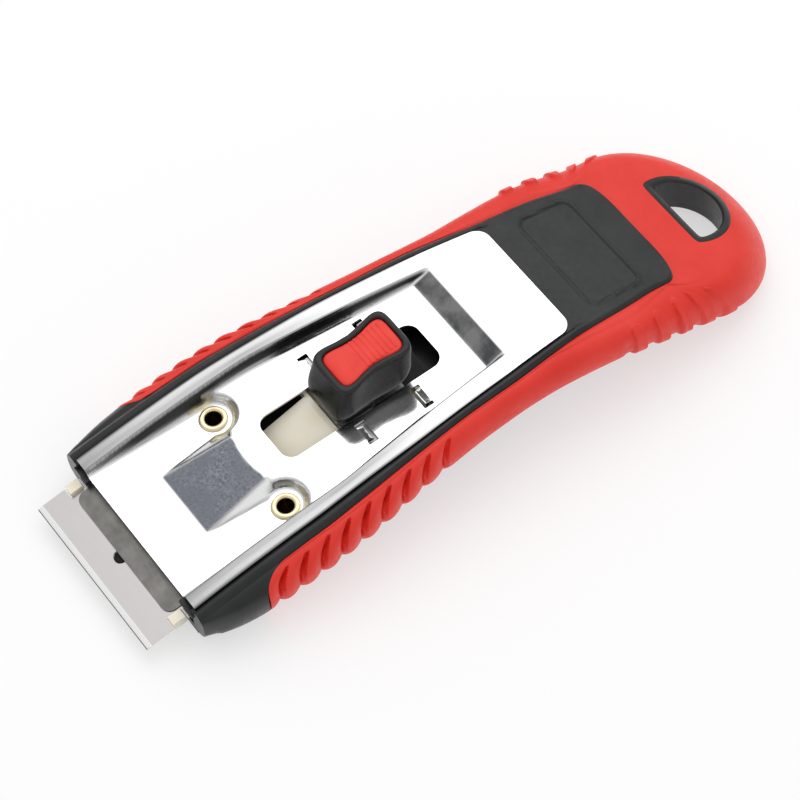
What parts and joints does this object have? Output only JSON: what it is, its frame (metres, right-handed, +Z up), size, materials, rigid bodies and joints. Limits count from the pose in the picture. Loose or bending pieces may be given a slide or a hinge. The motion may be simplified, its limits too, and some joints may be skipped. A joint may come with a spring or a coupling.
{
  "type": "ceramic_hob_scraper",
  "caption": "Ceramic hob scraper with a sliding 40 mm blade, a pressed steel cover, a thumb button and a red soft grip with a hanging hole.",
  "frame": {"origin": "Middle of the overall box in X and Y, on the table in Z, with the scraper lying on its underside.", "axes": "X across the blade, Y along the handle from the blade towards the hanging hole, Z up through the cover and the button."},
  "size_m": [0.0566, 0.1676, 0.0305],
  "materials": {
    "grip_red": "satin soft moulding",
    "core_black": "fine satin moulding",
    "cover_chrome": "bright nickel-chrome on pressed steel",
    "eyelet_brass": "bright turned brass",
    "carrier_cream": "cream coated steel strip",
    "blade_steel": "satin ground steel",
    "leaf_steel": "dull spring steel",
    "button_black": "satin moulding",
    "button_red": "soft gloss",
    "spring_steel": "rolled strip"
  },
  "bodies": {
    "handle": {"handle_core": "core_black", "grip_overmould": "grip_red", "cover_plate": "cover_chrome", "eyelet_left": "eyelet_brass", "eyelet_right": "eyelet_brass"},
    "carriage": {"blade_carrier": "carrier_cream", "blade": "blade_steel", "clamp_leaf": "leaf_steel", "leaf_rivet_left": "spring_steel", "leaf_rivet_right": "spring_steel", "press_spring": "spring_steel"},
    "button": {"slide_knob": "button_black", "knob_insert": "button_red", "latch_plate": "spring_steel"}
  },
  "joints": [
    {"name": "carriage_slide", "type": "slide", "parent": "handle", "child": "carriage", "axis": [0, 0.9943, 0.1063], "range_m": [-0.0115, 0.0155]},
    {"name": "button_press", "type": "slide", "parent": "carriage", "child": "button", "axis": [0, 0.1063, -0.9943], "range_m": [0, 0.001], "stiffness_N_per_m": 900, "deforming": ["press_spring"]}
  ]
}
